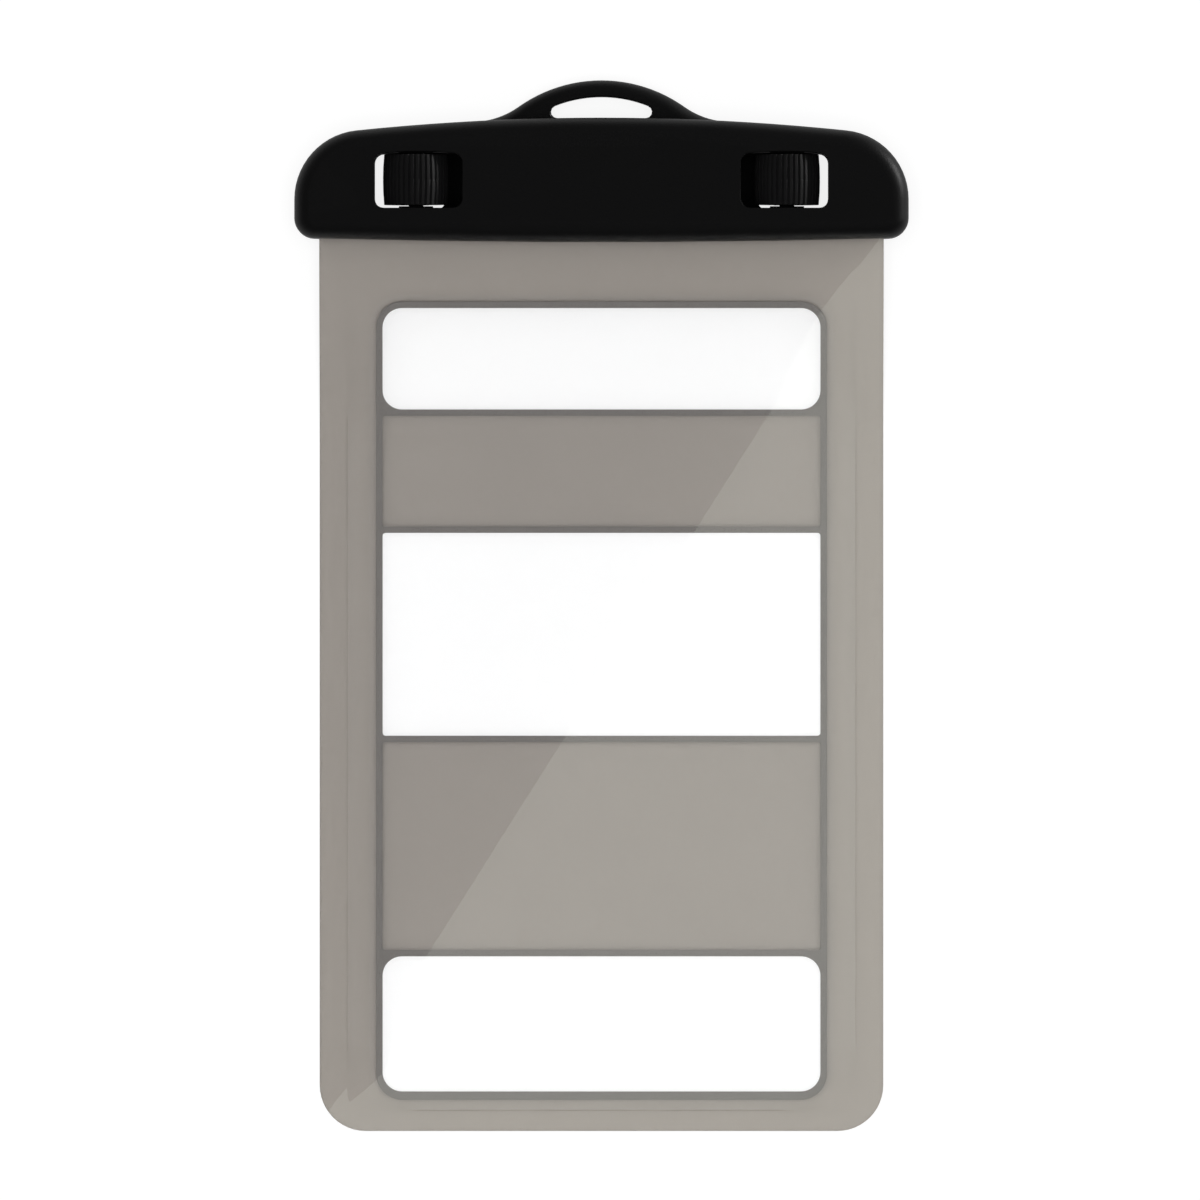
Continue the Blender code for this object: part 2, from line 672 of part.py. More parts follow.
def pouch_outline():
    """Rounded at the bottom, and square where it enters the clamp."""
    side = POUCH_WIDTH / 2
    x = side - POUCH_CORNER
    y = pouch_bottom + POUCH_CORNER
    return chain([(side, film_end), (-side, film_end)],
                 arc(-x, y, POUCH_CORNER, pi, 3 * pi / 2, 8),
                 arc(x, y, POUCH_CORNER, -pi / 2, 0, 8))


def window_outlines():
    """The three windows of the back film, from the bottom up."""
    half = window_width / 2
    low = pouch_bottom + WINDOW_FOOT
    middle = low + LOWER_WINDOW + lower_band
    high = middle + MIDDLE_WINDOW + UPPER_BAND
    return [rounded_box(-half, half, low, low + LOWER_WINDOW, ROUND_CORNER, 6),
            rounded_box(-half, half, middle, middle + MIDDLE_WINDOW, SQUARE_CORNER, 2),
            rounded_box(-half, half, high, high + UPPER_WINDOW, ROUND_CORNER, 6)]


def band_outlines():
    """The two bands between the windows, inside their edging."""
    half = window_width / 2
    low = pouch_bottom + WINDOW_FOOT + LOWER_WINDOW
    high = low + lower_band + MIDDLE_WINDOW
    return [rounded_box(-half, half, low + EDGING, low + lower_band - EDGING, SQUARE_CORNER, 2),
            rounded_box(-half, half, high + EDGING, high + UPPER_BAND - EDGING, SQUARE_CORNER, 2)]


def window_field(grow, foot_grow):
    """The rounded field that takes in all three windows."""
    half = window_width / 2 + grow
    low = pouch_bottom + WINDOW_FOOT
    high = low + LOWER_WINDOW + lower_band + MIDDLE_WINDOW + UPPER_BAND + UPPER_WINDOW
    return rounded_box(-half, half, low - foot_grow, high + grow, ROUND_CORNER + grow, 6)


def rise_lines(steps):
    return [rise_start + RISE * i / steps for i in range(steps + 1)]


def rear_film():
    piece = plate("rear_film", [pouch_outline()], 0, FILM, case, smoky_film)
    drape(piece, back_height, {"y": rise_lines(12)})
    for i, outline in enumerate(window_outlines()):
        cut(piece, plate(f"film_window_{i}", [outline], -PAST, REAR_DEPTH + PAST))
    return settle(piece)


def window_sheet():
    low = FILM + GAP
    outline = window_field(SHEET_LAP, FOOT_EDGING)
    piece = plate("window_sheet", [outline], low, low + SHEET, case, window_film)
    return settle(drape(piece, back_height, {"y": rise_lines(12)}))


def window_edging():
    low = FILM + GAP + SHEET + GAP
    outline = window_field(EDGING, FOOT_EDGING)
    piece = plate("window_edging", [outline], low, low + EDGING_THICKNESS, case, edging_grey)
    drape(piece, back_height, {"y": rise_lines(12)})
    for i, opening in enumerate(window_outlines() + band_outlines()):
        cut(piece, plate(f"edging_opening_{i}", [opening], -PAST, REAR_DEPTH + PAST))
    return settle(piece)


def front_film():
    piece = plate("front_film", [pouch_outline()], 0, FILM, case, clear_film)
    slope = [PUFF_SLOPE * i / 6 for i in range(7)]
    side = POUCH_WIDTH / 2 - SIDE_WELD
    across = [side - s for s in slope]
    foot = [pouch_bottom + FOOT_WELD + s for s in slope]
    drape(piece, front_height, {"x": across + [-x for x in across], "y": foot + rise_lines(12)})
    return settle(piece, 60)


rear_clamp_half()
front_clamp_half()
rear_land = REAR_DEPTH - recess
seal_strip("rear_seal_strip", rear_land - SEAL_DEPTH)
seal_strip("front_seal_strip", front_bottom + recess)
lock_barrel("left", -1)
lock_barrel("right", 1)
rear_film()
window_sheet()
window_edging()
front_film()
print(f"case {case_length * 1000:.1f} mm long, locks turn {degrees(HOOK_TURN):.0f} degrees")
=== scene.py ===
# Looks of the waterproof case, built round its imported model.
# The case lies on its back: X across, Y towards the hanging loop, Z out of its front.
from math import atan2, cos, pi, radians, sin

import bmesh
import bpy
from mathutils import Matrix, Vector


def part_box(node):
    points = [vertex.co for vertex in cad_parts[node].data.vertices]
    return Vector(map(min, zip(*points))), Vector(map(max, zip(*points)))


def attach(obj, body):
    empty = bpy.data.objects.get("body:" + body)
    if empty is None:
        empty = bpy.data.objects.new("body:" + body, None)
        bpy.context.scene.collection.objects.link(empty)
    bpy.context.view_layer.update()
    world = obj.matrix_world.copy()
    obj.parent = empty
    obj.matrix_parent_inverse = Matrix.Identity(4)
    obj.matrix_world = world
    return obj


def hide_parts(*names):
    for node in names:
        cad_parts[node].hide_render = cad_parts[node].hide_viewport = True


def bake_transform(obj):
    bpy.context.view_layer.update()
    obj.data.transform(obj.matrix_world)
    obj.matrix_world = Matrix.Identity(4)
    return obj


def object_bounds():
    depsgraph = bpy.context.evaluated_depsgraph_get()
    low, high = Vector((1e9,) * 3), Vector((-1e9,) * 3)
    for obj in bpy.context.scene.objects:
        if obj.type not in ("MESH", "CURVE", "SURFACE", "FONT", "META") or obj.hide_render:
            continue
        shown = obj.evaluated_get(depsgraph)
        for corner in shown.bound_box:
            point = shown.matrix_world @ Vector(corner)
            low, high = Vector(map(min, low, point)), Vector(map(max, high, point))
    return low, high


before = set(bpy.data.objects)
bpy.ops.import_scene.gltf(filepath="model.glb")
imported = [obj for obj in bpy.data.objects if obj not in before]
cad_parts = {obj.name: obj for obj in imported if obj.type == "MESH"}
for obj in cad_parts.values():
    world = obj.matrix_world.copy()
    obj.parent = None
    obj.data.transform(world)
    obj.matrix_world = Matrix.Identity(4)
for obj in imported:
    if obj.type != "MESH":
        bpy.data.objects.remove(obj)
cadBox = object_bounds()

scene = bpy.context.scene
scene.view_settings.view_transform = "Standard"

# Points nearer than this, in metres, count as one, and so do places that agree to this many decimals
closeness = {"merge": 2e-6, "touch": 1e-6, "cut": 1e-7, "decimals": 6}

# Camera

cameraSetup = {"lens": 800, "sensor": 36, "frameWidth": 0.24285, "aim": (-0.0003, 0.0012, 0.0080)}
cameraDistance = cameraSetup["frameWidth"] * cameraSetup["lens"] / cameraSetup["sensor"]


def addCamera():
    # Straight above, and so far off that perspective hardly shows
    data = bpy.data.cameras.new("camera")
    data.type = "PERSP"
    data.lens = cameraSetup["lens"]
    data.sensor_width = cameraSetup["sensor"]
    data.dof.use_dof = False
    camera = bpy.data.objects.new("camera", data)
    scene.collection.objects.link(camera)
    camera.location = Vector(cameraSetup["aim"]) + Vector((0, 0, cameraDistance))
    scene.camera = camera


addCamera()

# Helpers for nodes and objects


def wire(tree, source, output, target, socket):
    tree.links.new(source.outputs[output], target.inputs[socket])


def setInputs(node, values):
    for label, value in values.items():
        node.inputs[label].default_value = value


def mathNode(tree, operation, first, second=None, third=None):
    # Each value is a number or an output socket
    node = tree.nodes.new("ShaderNodeMath")
    node.operation = operation
    for socket, value in zip(node.inputs, (first, second, third)):
        if value is None:
            continue
        if isinstance(value, bpy.types.NodeSocket):
            tree.links.new(value, socket)
        else:
            socket.default_value = value
    return node.outputs[0]


def rangeNode(tree, source, output, start, end, low, high):
    # Goes from low to high while the source's output goes from start to end
    node = tree.nodes.new("ShaderNodeMapRange")
    setInputs(node, {"From Min": start, "From Max": end, "To Min": low, "To Max": high})
    wire(tree, source, output, node, "Value")
    return node


def newObject(name, bm, look=None):
    # A finished bmesh as an object of the scene
    mesh = bpy.data.meshes.new(name)
    bm.to_mesh(mesh)
    bm.free()
    if look:
        mesh.materials.append(look)
    made = bpy.data.objects.new(name, mesh)
    scene.collection.objects.link(made)
    return made


# Floor and world

floorSetup = {"width": 24.0, "gap": 0.00002, "colour": 0.30, "glow": 0.83, "through": 0.73, "sheen": 0.42}
worldSetup = {"ambient": 0.32, "overhead": 0.052, "level": 0.52, "horizon": 0.20, "footLevel": 0.72}


def seenRays(tree, direct, through, mirrored):
    # How bright the floor is: to the camera, through the films and in a mirror image
    paths = tree.nodes.new("ShaderNodeLightPath")
    levels = (("Is Camera Ray", direct), ("Is Transmission Ray", through), ("Is Glossy Ray", mirrored))
    seen = [mathNode(tree, "MULTIPLY", paths.outputs[ray], level) for ray, level in levels]
    return mathNode(tree, "MAXIMUM", mathNode(tree, "MAXIMUM", seen[0], seen[1]), seen[2])


def makeFloor():
    # Grey paper in the light, white to the eye
    paper = bpy.data.materials.new("floorPaper")
    paper.use_nodes = True
    tree = paper.node_tree
    shader = tree.nodes["Principled BSDF"]
    tone = floorSetup["colour"]
    setInputs(shader, {"Base Color": (tone, tone, tone, 1), "Roughness": 1.0,
                       "Specular IOR Level": 0.0, "Emission Color": (1, 1, 1, 1)})
    tree.links.new(seenRays(tree, floorSetup["glow"], floorSetup["through"], floorSetup["sheen"]),
                   shader.inputs["Emission Strength"])

    bm = bmesh.new()
    bmesh.ops.create_grid(bm, x_segments=2, y_segments=2, size=floorSetup["width"] / 2)
    floor = newObject("floor", bm, paper)
    floor.location.z = cadBox[0][2] - floorSetup["gap"]      # a hair under the case


def makeWorld():
    # White to the camera, dim overhead in reflections, and a plain level for the light
    world = bpy.data.worlds.new("studio")
    scene.world = world
    world.use_nodes = True
    tree = world.node_tree
    background = tree.nodes["Background"]
    background.inputs["Color"].default_value = (1, 1, 1, 1)

    place = tree.nodes.new("ShaderNodeTexCoord")
    split = tree.nodes.new("ShaderNodeSeparateXYZ")
    wire(tree, place, "Generated", split, "Vector")
    level, overhead = worldSetup["level"], worldSetup["overhead"]
    rise = rangeNode(tree, split, "Z", 0.0, worldSetup["horizon"], level, overhead)
    rise.interpolation_type = "SMOOTHSTEP"
    footward = rangeNode(tree, split, "Y", -1.0, 0.0, worldSetup["footLevel"], 1.0)
    mirrorLevel = mathNode(tree, "MULTIPLY", rise.outputs["Result"], footward.outputs["Result"])

    paths = tree.nodes.new("ShaderNodeLightPath")
    dimming = worldSetup["ambient"] - 1
    plainLevel = mathNode(tree, "MULTIPLY_ADD", paths.outputs["Is Diffuse Ray"], dimming, 1.0)
    straight = mathNode(tree, "SUBTRACT", 1.0, paths.outputs["Is Transmission Ray"])
    mirrored = mathNode(tree, "MULTIPLY", paths.outputs["Is Glossy Ray"], straight)
    mix = tree.nodes.new("ShaderNodeMix")
    for value, label in ((mirrored, "Factor"), (plainLevel, "A"), (mirrorLevel, "B")):
        tree.links.new(value, mix.inputs[label])
    wire(tree, mix, "Result", background, "Strength")


makeFloor()
makeWorld()
print("stage ready")

# Materials

# Sizes in metres: grain and mottle are how far apart the marks are, bump is how deep
# The roughness goes by spread to both sides of rough
plastics = {
    "clampPlastic": {"base": (0.0032, 0.0032, 0.0034), "specular": 0.3, "rough": 0.46, "spread": 0.05,
                     "grain": 0.00035, "mottle": 0.007, "bump": 0.00004},
    # A darker, duller copy of clampPlastic, painted shade for the walls round the barrels
    "clampWallShade": {"base": (0.0024, 0.0024, 0.0025), "specular": 0.05, "rough": 0.8, "spread": 0.05,
                    "grain": 0.00035, "mottle": 0.007, "bump": 0.00001},
    "barrelPlastic": {"base": (0.0040, 0.0040, 0.0043), "specular": 0.45, "rough": 0.50, "spread": 0.05,
                      "grain": 0.00030, "mottle": 0.004, "bump": 0.00001},
    "sealSilicone": {"base": (0.05, 0.05, 0.05), "specular": 0.5, "rough": 0.55, "spread": 0.04,
                     "grain": 0.0004, "mottle": 0.004, "bump": 0.00001},
    "smokyFilm": {"base": (0.265, 0.238, 0.211), "specular": 0.5, "rough": 0.38, "spread": 0.05,
                  "grain": 0.0009, "mottle": 0.020, "bump": 0.000004},
    "edgingPlastic": {"base": (0.111, 0.102, 0.094), "specular": 0.5, "rough": 0.34, "spread": 0.04,
                      "grain": 0.0006, "mottle": 0.012, "bump": 0.000004},
}
clearSheets = {
    "clearFilm": {"base": (1.0, 1.0, 1.0), "ior": 1.42, "rough": 0.012, "spread": 0.0036,
                  "mottle": 0.018},
    "windowFilm": {"base": (0.996, 0.996, 0.998), "ior": 1.2, "rough": 0.02, "spread": 0.006,
                   "mottle": 0.018},
}
moulding = {"detail": 3, "tint": 0.03}      # noise detail, and how far a plastic's colour varies


def newGroup(name, inputs, outputs):
    group = bpy.data.node_groups.new(name, "ShaderNodeTree")
    for label, kind in inputs:
        group.interface.new_socket(label, in_out="INPUT", socket_type=kind)
    for label, kind in outputs:
        group.interface.new_socket(label, in_out="OUTPUT", socket_type=kind)
    return group, group.nodes.new("NodeGroupInput"), group.nodes.new("NodeGroupOutput")


def makeGrainGroup():
    # A fine moulded grain as a height, and a slower mottle as a mask
    group, start, end = newGroup(
        "mouldedGrain",
        [("Vector", "NodeSocketVector"), ("Grain", "NodeSocketFloat"), ("Mottle", "NodeSocketFloat")],
        [("Height", "NodeSocketFloat"), ("Mask", "NodeSocketFloat")])
    for label, output in (("Grain", "Height"), ("Mottle", "Mask")):
        noise = group.nodes.new("ShaderNodeTexNoise")
        noise.inputs["Detail"].default_value = moulding["detail"]
        wire(group, start, "Vector", noise, "Vector")
        group.links.new(mathNode(group, "DIVIDE", 1.0, start.outputs[label]), noise.inputs["Scale"])
        wire(group, noise, "Fac", end, output)
    return group


grainGroup = makeGrainGroup()


def newMaterial(name, look):
    # A material whose roughness follows the mottle on its piece's own coordinates
    made = bpy.data.materials.new(name)
    made.use_nodes = True
    tree = made.node_tree
    shader = tree.nodes["Principled BSDF"]
    place = tree.nodes.new("ShaderNodeTexCoord")
    texture = tree.nodes.new("ShaderNodeGroup")
    texture.node_tree = grainGroup
    texture.inputs["Mottle"].default_value = look["mottle"]
    wire(tree, place, "Object", texture, "Vector")
    low, high = look["rough"] - look["spread"], look["rough"] + look["spread"]
    shade = rangeNode(tree, texture, "Mask", 0.0, 1.0, low, high)
    wire(tree, shade, "Result", shader, "Roughness")
    return made, tree, shader, texture


def plasticMaterial(name, look):
    # Moulded plastic, with a fine grain and a colour that varies a little
    made, tree, shader, texture = newMaterial(name, look)
    shader.inputs["Specular IOR Level"].default_value = look["specular"]
    texture.inputs["Grain"].default_value = look["grain"]

    tint = tree.nodes.new("ShaderNodeMix")
    tint.data_type = "RGBA"
    for label, share in (("A", 1 - moulding["tint"]), ("B", 1 + moulding["tint"])):
        tint.inputs[label].default_value = (*(c * share for c in look["base"]), 1)
    wire(tree, texture, "Mask", tint, "Factor")
    wire(tree, tint, "Result", shader, "Base Color")

    relief = tree.nodes.new("ShaderNodeBump")
    relief.inputs["Distance"].default_value = look["bump"]
    wire(tree, texture, "Height", relief, "Height")
    wire(tree, relief, "Normal", shader, "Normal")
    return made


def clearMaterial(name, look):
    # Clear film: glass to the eye, open to the light that falls through it
    made, tree, shader, texture = newMaterial(name, look)
    setInputs(shader, {"Base Color": (*look["base"], 1), "Transmission Weight": 1.0, "IOR": look["ior"]})
    paths = tree.nodes.new("ShaderNodeLightPath")
    through = tree.nodes.new("ShaderNodeBsdfTransparent")
    mix = tree.nodes.new("ShaderNodeMixShader")
    wire(tree, paths, "Is Shadow Ray", mix, "Fac")
    tree.links.new(shader.outputs["BSDF"], mix.inputs[1])
    tree.links.new(through.outputs["BSDF"], mix.inputs[2])
    wire(tree, mix, "Shader", tree.nodes["Material Output"], "Surface")
    return made


materials = {name: plasticMaterial(name, look) for name, look in plastics.items()}
materials |= {name: clearMaterial(name, look) for name, look in clearSheets.items()}
print("materials ready")

# Clamp and locks

# Width of each softened edge, and the least angle in degrees that gets one
softEdges = {"clamp": {"width": 0.00012, "angle": 35}, "barrel": {"width": 0.00008, "angle": 28},
             "seal": {"width": 0.00015, "angle": 35}}
edgeRounding = {"segments": 2, "flat": 0.3}      # faces within flat degrees of each other are one


def evenNormals(piece):
    normals = piece.modifiers.new("evenNormals", "WEIGHTED_NORMAL")
    normals.keep_sharp = True


def copyNode(node, name, look, edges):
    # A node's mesh, merged, with its flat faces whole and its edges softened
    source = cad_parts[node]
    bm = bmesh.new()
    bm.from_mesh(source.data)
    bm.transform(source.matrix_world)
    bmesh.ops.remove_doubles(bm, verts=bm.verts, dist=closeness["merge"])
    bmesh.ops.dissolve_limit(bm, angle_limit=radians(edgeRounding["flat"]), verts=bm.verts, edges=bm.edges)
    piece = newObject(name, bm, look)
    piece.data.shade_smooth()
    soften = piece.modifiers.new("softenEdges", "BEVEL")
    soften.limit_method = "ANGLE"
    soften.angle_limit = radians(edges["angle"])
    soften.width = edges["width"]
    soften.segments = edgeRounding["segments"]
    soften.harden_normals = True
    evenNormals(piece)
    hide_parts(node)
    return piece


lockWalls = {"reach": 0.0098, "tilt": 0.3}


def paintLockWallShade(piece):
    # The upright walls round each barrel get a darker, duller copy of the clamp plastic: painted shade in
    # these recesses
    piece.data.materials.append(materials["clampWallShade"])
    boxes = [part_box(f"{hand}_lock_barrel") for hand in ("left", "right")]
    middles = [(Vector(low) + Vector(high)) / 2 for low, high in boxes]
    for face in piece.data.polygons:
        upright = abs(face.normal.z) < lockWalls["tilt"]
        near = min(max(abs(face.center.x - m.x), abs(face.center.y - m.y)) for m in middles)
        if upright and near < lockWalls["reach"]:
            face.material_index = 1


# The rear half's two lock openings: where they are, and how far their edges move
rearOpening = {"foot": 0.0805, "head": 0.0911, "end": 0.0470, "edge": 0.0309, "corner": 0.0019,
               "floor": 0.0020, "shut": 0.0007, "lift": 0.0006}


def reshapeOpenings(piece):
    # Each rear opening ends behind the barrel on its inner side and goes up to the window's top edge
    def footprint(vertex):
        return vertex.co.xy.to_tuple(closeness["decimals"])

    points = piece.data.vertices
    ring = {footprint(v) for v in points
            if v.co.z < closeness["touch"] and abs(v.co.x) < rearOpening["end"]
            and rearOpening["foot"] < v.co.y < rearOpening["head"]}
    middle = (rearOpening["foot"] + rearOpening["head"]) / 2
    for vertex in points:
        x, y, z = vertex.co
        if z > rearOpening["floor"] + closeness["touch"] or footprint(vertex) not in ring:
            continue
        outward = min(max((abs(x) - rearOpening["edge"]) / rearOpening["corner"], 0), 1)
        vertex.co.x += rearOpening["shut"] * (1 - outward) * (1 if x > 0 else -1)
        if y > middle:
            vertex.co.y += rearOpening["lift"]


barrelGroove = {"depth": 0.00006, "width": 0.00014, "skin": 0.0062}


def addGroove(barrel, box):
    # The fine groove where the two mould halves meet, round a barrel's middle
    axis = (Vector(box[0]) + Vector(box[1])) / 2
    bm = bmesh.new()
    bm.from_mesh(barrel.data)
    for side in (-1, 0, 1):
        place = axis.y + side * barrelGroove["width"]
        bmesh.ops.bisect_plane(bm, geom=bm.verts[:] + bm.edges[:] + bm.faces[:],
                               dist=closeness["touch"], plane_co=(0, place, 0), plane_no=(0, 1, 0))
    for vertex in bm.verts:
        away = Vector((vertex.co.x - axis.x, 0, vertex.co.z - axis.z))
        if abs(vertex.co.y - axis.y) < closeness["touch"] and away.length > barrelGroove["skin"]:
            vertex.co -= away.normalized() * barrelGroove["depth"]
    bm.to_mesh(barrel.data)
    bm.free()


clampRear = copyNode("rear_clamp_half", "clampRear", materials["clampPlastic"], softEdges["clamp"])
reshapeOpenings(clampRear)
paintLockWallShade(clampRear)
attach(clampRear, "pouch")
clampFront = copyNode("front_clamp_half", "clampFront", materials["clampPlastic"], softEdges["clamp"])
paintLockWallShade(clampFront)
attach(clampFront, "front_half")
barrels = []
for hand in ("left", "right"):
    node = f"{hand}_lock_barrel"
    barrel = copyNode(node, f"{hand}Barrel", materials["barrelPlastic"], softEdges["barrel"])
    addGroove(barrel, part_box(node))
    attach(barrel, f"{hand}_lock")
    barrels.append(barrel)
for half, body in (("rear", "pouch"), ("front", "front_half")):
    seal = copyNode(f"{half}_seal_strip", f"{half}Seal", materials["sealSilicone"], softEdges["seal"])
    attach(seal, body)

print("clamp ready")

# Pouch sheets

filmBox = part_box("front_film")
filmLow, filmHigh = filmBox[0].xy, filmBox[1].xy
filmTop = filmBox[1][2]
pouch = {"corner": 0.0093, "film": 0.0004, "air": 0.0003, "sideWeld": 0.0056, "footWeld": 0.0042,
         "slope": 0.0155, "rise": 0.040, "riseEnd": 0.0736, "lift": 0.0089, "step": 0.0005,
         "riseStep": 0.0016, "followStart": 0.020, "followEnd": 0.003, "sharp": 40}
windows = {"width": 0.0886, "foot": 0.0081, "heights": (0.0273, 0.0411, 0.0205),
           "bands": (0.0447, 0.0250), "radii": (0.0039, 0.0006, 0.0039),
           "lap": 0.0027, "edging": 0.0013, "footEdging": 0.0017, "sheet": 0.0003}
openingTool = {"height": 0.03, "under": 0.005}      # taller than the film climbs


def backRise(y):
    # The back film lies on the table, then climbs to the clamp's parting face
    share = min(max((y - pouch["riseEnd"] + pouch["rise"]) / pouch["rise"], 0), 1)
    return pouch["lift"] * share * share * (3 - 2 * share)


def coverRise(x, y):
    # A welded rim on the back film, a rounded slope, and a flat front
    rim = backRise(y) + pouch["film"] + pouch["air"]
    across = (filmHigh.x - pouch["sideWeld"] - abs(x)) / pouch["slope"]
    along = (y - filmLow.y - pouch["footWeld"]) / pouch["slope"]
    swell = sin(pi / 2 * min(max(across, 0), 1)) * sin(pi / 2 * min(max(along, 0), 1))
    return rim + (filmTop - pouch["film"] - rim) * swell


def roundedFace(bm, low, high, radius, corners, segments=12):
    # A flat face with all its corners rounded, or the two at its foot
    made = bmesh.ops.create_grid(bm, x_segments=1, y_segments=1, size=0.5)["verts"]
    bmesh.ops.scale(bm, vec=(high[0] - low[0], high[1] - low[1], 1), verts=made)
    bmesh.ops.translate(bm, vec=((low[0] + high[0]) / 2, (low[1] + high[1]) / 2, 0), verts=made)
    middle = (low[1] + high[1]) / 2
    chosen = [v for v in made if corners == "all" or v.co.y < middle]
    bmesh.ops.bevel(bm, geom=chosen, offset=radius, offset_type="OFFSET", segments=segments,
                    profile=0.5, affect="VERTICES", material=-1)


def steps(start, end, size):
    count = max(1, round(abs(end - start) / size))
    return [start + (end - start) * i / count for i in range(count + 1)]


def drapeFace(bm, height, acrossX, alongY):
    # Cut the flat face along lines, then lift each point
    for axis, places in (((1, 0, 0), acrossX), ((0, 1, 0), alongY)):
        for place in places:
            bmesh.ops.bisect_plane(bm, geom=bm.verts[:] + bm.edges[:] + bm.faces[:], dist=closeness["cut"],
                                   plane_co=[place * n for n in axis], plane_no=axis)
    for vertex in bm.verts:
        vertex.co.z = height(vertex.co.x, vertex.co.y)


def addOpeningTool(low, high, radius):
    # The block that cuts one opening
    bm = bmesh.new()
    roundedFace(bm, low, high, radius, "all")
    raised = bmesh.ops.extrude_face_region(bm, geom=bm.faces[:])["geom"]
    lifted = [item for item in raised if isinstance(item, bmesh.types.BMVert)]
    bmesh.ops.translate(bm, vec=(0, 0, openingTool["height"]), verts=lifted)
    bmesh.ops.translate(bm, vec=(0, 0, -openingTool["under"]), verts=bm.verts)
    bmesh.ops.recalc_face_normals(bm, faces=bm.faces)
    return newObject("opening", bm)


def bakedPiece(name, bm, look, thickness, openings=()):
    # Thicken the sheet, cut its openings, and keep the result as plain mesh
    piece = newObject(name, bm, look)
    wall = piece.modifiers.new("wall", "SOLIDIFY")
    wall.thickness = thickness
    wall.offset = 1
    tools = [addOpeningTool(*opening) for opening in openings]
    for tool in tools:
        cut = piece.modifiers.new("opening", "BOOLEAN")
        cut.object = tool
        cut.solver = "EXACT"
    bpy.context.view_layer.update()
    graph = bpy.context.evaluated_depsgraph_get()
    final = bpy.data.meshes.new_from_object(piece.evaluated_get(graph))
    piece.modifiers.clear()
    piece.data = final
    for tool in tools:
        bpy.data.objects.remove(tool)
    final.shade_smooth()
    final.set_sharp_from_angle(angle=radians(pouch["sharp"]))
    evenNormals(piece)
    return piece


def windowBoxes():
    # Corners and corner radius of each window, from the bottom up
    half = windows["width"] / 2
    low = filmLow.y + windows["foot"]
    boxes = []
    for height, radius, band in zip(windows["heights"], windows["radii"], (*windows["bands"], 0)):
        boxes.append(((-half, low), (half, low + height), radius))
        low += height + band
    return boxes


def bandBoxes(boxes):
    # The two fields between the windows, inside their edging
    edge = windows["edging"]
    return [((lower[0][0], lower[1][1] + edge), (upper[1][0], upper[0][1] - edge), windows["radii"][1])
            for lower, upper in zip(boxes, boxes[1:])]


def fieldFace(bm, boxes, grow, footGrow):
    # One face over all the windows, wider than they are by grow
    low, high = boxes[0][0], boxes[-1][1]
    roundedFace(bm, (low[0] - grow, low[1] - footGrow), (high[0] + grow, high[1] + grow),
                windows["radii"][0] + grow, "all")


openings = windowBoxes()
riseLines = steps(pouch["riseEnd"] - pouch["rise"], pouch["riseEnd"], pouch["riseStep"])
sheetLow = pouch["film"] + pouch["air"]
edgingLow = sheetLow + windows["sheet"] + pouch["air"]

bm = bmesh.new()
roundedFace(bm, filmLow, filmHigh, pouch["corner"], "foot")
drapeFace(bm, lambda x, y: backRise(y), [], riseLines)
backFilm = bakedPiece("backFilm", bm, materials["smokyFilm"], pouch["film"], openings)
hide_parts("rear_film")
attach(backFilm, "pouch")

bm = bmesh.new()
fieldFace(bm, openings, windows["lap"], windows["footEdging"])
drapeFace(bm, lambda x, y: backRise(y) + sheetLow, [], riseLines)
windowSheet = bakedPiece("windowSheet", bm, materials["windowFilm"], windows["sheet"])
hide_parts("window_sheet")
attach(windowSheet, "pouch")

bm = bmesh.new()
fieldFace(bm, openings, windows["edging"], windows["footEdging"])
drapeFace(bm, lambda x, y: backRise(y) + edgingLow, [], riseLines)
windowEdging = bakedPiece("windowEdging", bm, materials["edgingPlastic"], windows["sheet"],
                          openings + bandBoxes(openings))
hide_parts("window_edging")
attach(windowEdging, "pouch")

bm = bmesh.new()
roundedFace(bm, filmLow, filmHigh, pouch["corner"], "foot")
slopeStart = filmHigh.x - pouch["sideWeld"]
slopeLines = steps(slopeStart, slopeStart - pouch["slope"], pouch["step"])
footStart = filmLow.y + pouch["footWeld"]
footLines = steps(footStart, footStart + pouch["slope"], pouch["step"])
drapeFace(bm, coverRise, slopeLines + [-x for x in slopeLines], footLines + riseLines)
coverFilm = bakedPiece("coverFilm", bm, materials["clearFilm"], pouch["film"])
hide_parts("front_film")
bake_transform(coverFilm)
print("pouch ready")

# Lights


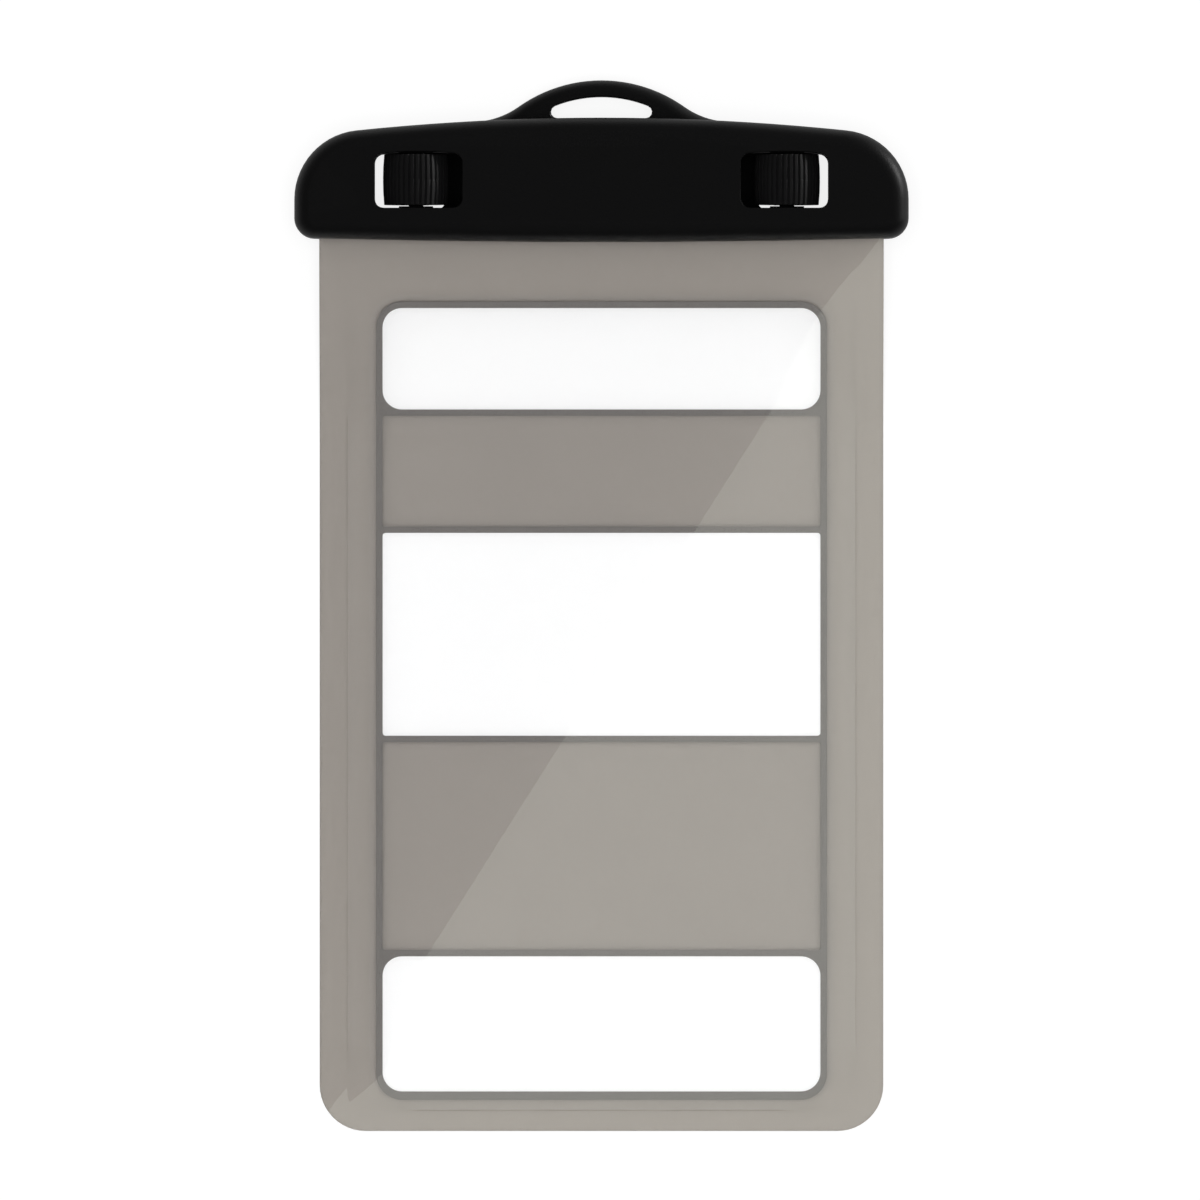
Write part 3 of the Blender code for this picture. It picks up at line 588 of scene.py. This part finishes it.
def addPanel(name, centre, turn, width, depth, radiance, receivers=None):
    # Width runs along X of the lamp, depth along its Y; it shines along -Z
    data = bpy.data.lights.new(name, "AREA")
    data.shape = "RECTANGLE"
    data.size = width
    data.size_y = depth
    # An area lamp's radiance is a quarter of its power over its area
    data.energy = radiance * 4 * width * depth
    lamp = bpy.data.objects.new(name, data)
    scene.collection.objects.link(lamp)
    lamp.location = centre
    lamp.rotation_euler = turn
    lamp.visible_camera = False
    if receivers:
        lamp.visible_diffuse = False
        lamp.visible_transmission = False
        linked = bpy.data.collections.new(f"{name}Receivers")
        for piece in receivers:
            linked.objects.link(piece)
        lamp.light_linking.receiver_collection = linked
    return lamp


softbox = {"height": 3.6, "width": 1.6, "light": 0.28}


def addSoftbox():
    # A broad softbox high overhead: it lights the case evenly and leaves no mirror image
    height, width = softbox["height"], softbox["width"]
    radiance = softbox["light"] * pi * (height / width) ** 2
    box = addPanel("softbox", (0, 0, height), (0, 0, 0), width, width, radiance)
    box.visible_glossy = False
    box.visible_transmission = False


# The gloss line stands across normal, at offset from the case's middle
glossPanel = {"normal": (0.8455, -0.5340), "offset": 0.0079, "height": 0.004, "reach": 1.2,
              "span": 1.6, "radiance": 1.31, "tint": (0.97, 1.0, 0.90)}


def addGloss():
    # The straight edge of this panel is the slanting line of gloss on the cover film
    nx, ny = glossPanel["normal"]
    height, reach = glossPanel["height"], glossPanel["reach"]
    aim = Vector(cameraSetup["aim"])
    offset = glossPanel["offset"] - (aim.x * nx + aim.y * ny)
    middle = offset * (1 + height / cameraDistance) + reach / 2
    centre = (aim.x + nx * middle, aim.y + ny * middle, filmTop + height)
    gloss = addPanel("glossPanel", centre, (0, 0, atan2(ny, nx)), reach, glossPanel["span"],
                     glossPanel["radiance"], [coverFilm])
    gloss.data.color = glossPanel["tint"]


rimLight = {"azimuth": 24, "elevation": 10, "distance": 2.0, "aim": (0, 0.085, 0.012),
            "width": 0.5, "height": 0.3, "radiance": 35.0}


def addRimLight():
    # A low strip to the upper right, for the sheen along the clamp's rounded rim
    azimuth, elevation = radians(rimLight["azimuth"]), radians(rimLight["elevation"])
    away = Vector((cos(azimuth) * cos(elevation), sin(azimuth) * cos(elevation), sin(elevation)))
    centre = Vector(rimLight["aim"]) + away * rimLight["distance"]
    turn = away.to_track_quat("Z", "Y").to_euler()
    addPanel("rimStrip", centre, turn, rimLight["width"], rimLight["height"], rimLight["radiance"],
             [clampFront, clampRear] + barrels)


addSoftbox()
addGloss()
addRimLight()
print("lights ready")
